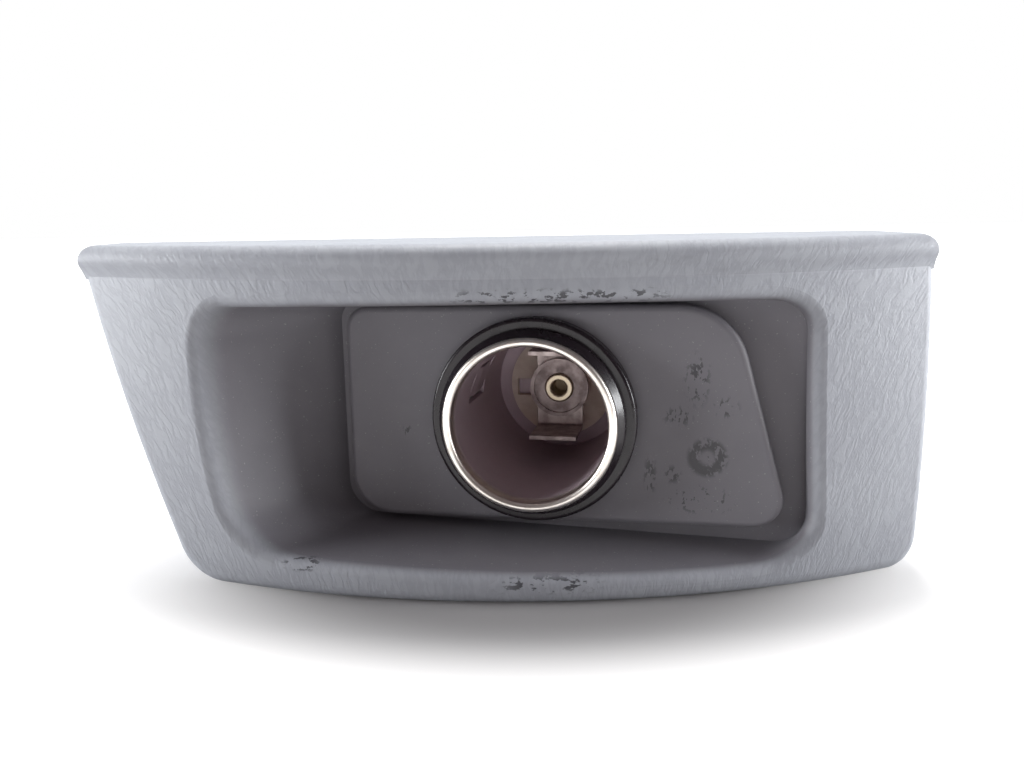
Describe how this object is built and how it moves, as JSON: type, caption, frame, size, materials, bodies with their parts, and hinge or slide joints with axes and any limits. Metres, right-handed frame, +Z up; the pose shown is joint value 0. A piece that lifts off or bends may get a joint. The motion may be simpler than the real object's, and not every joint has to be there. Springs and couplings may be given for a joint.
{
  "type": "car 12v power socket in a trim panel",
  "caption": "Moulded car trim panel with a recessed platform that holds a 12 volt socket: plated barrel, black collar, clamp sleeve, blade terminals and spring clips.",
  "frame": {"origin": "middle of the platform's face, on the socket's axis", "axes": "+X along the panel to the viewer's right, -Y towards the viewer, +Z up; the socket's axis lies level and is turned 12 degrees to the viewer's left, so its mouth faces (-0.208, -0.978, 0)"},
  "size_m": [0.1186, 0.0569, 0.0458],
  "materials": {
    "panel_plastic": "moulded with leather grain",
    "collar_plastic": "polished black",
    "nickel_plate": "bright nickel plating, aged",
    "zinc_plated_steel": "dull zinc plating",
    "beige_laminate": "pressed laminate",
    "spring_metal": "rolled strip",
    "dark_contact_metal": "darkened by heat",
    "plated_brass": "dull plating over brass",
    "black_laminate": "pressed laminate",
    "tinned_brass": "tinned",
    "clip_steel": "phosphated spring steel"
  },
  "bodies": {
    "root": {"trim_panel": "panel_plastic", "mounting_collar": "collar_plastic", "socket_barrel": "nickel_plate", "clamp_sleeve": "zinc_plated_steel", "inner_insulator": "beige_laminate", "bimetal_clip": "spring_metal", "contact_disc": "dark_contact_metal", "contact_stud": "plated_brass", "rear_insulator": "black_laminate", "flat_washer": "zinc_plated_steel", "positive_terminal": "tinned_brass", "lock_washer": "zinc_plated_steel", "hex_nut": "zinc_plated_steel", "ground_terminal": "tinned_brass", "ground_rivet": "plated_brass", "panel_clip_left_top": "clip_steel", "panel_clip_left_bottom": "clip_steel", "panel_clip_right_top": "clip_steel", "panel_clip_right_bottom": "clip_steel"}
  },
  "joints": []
}
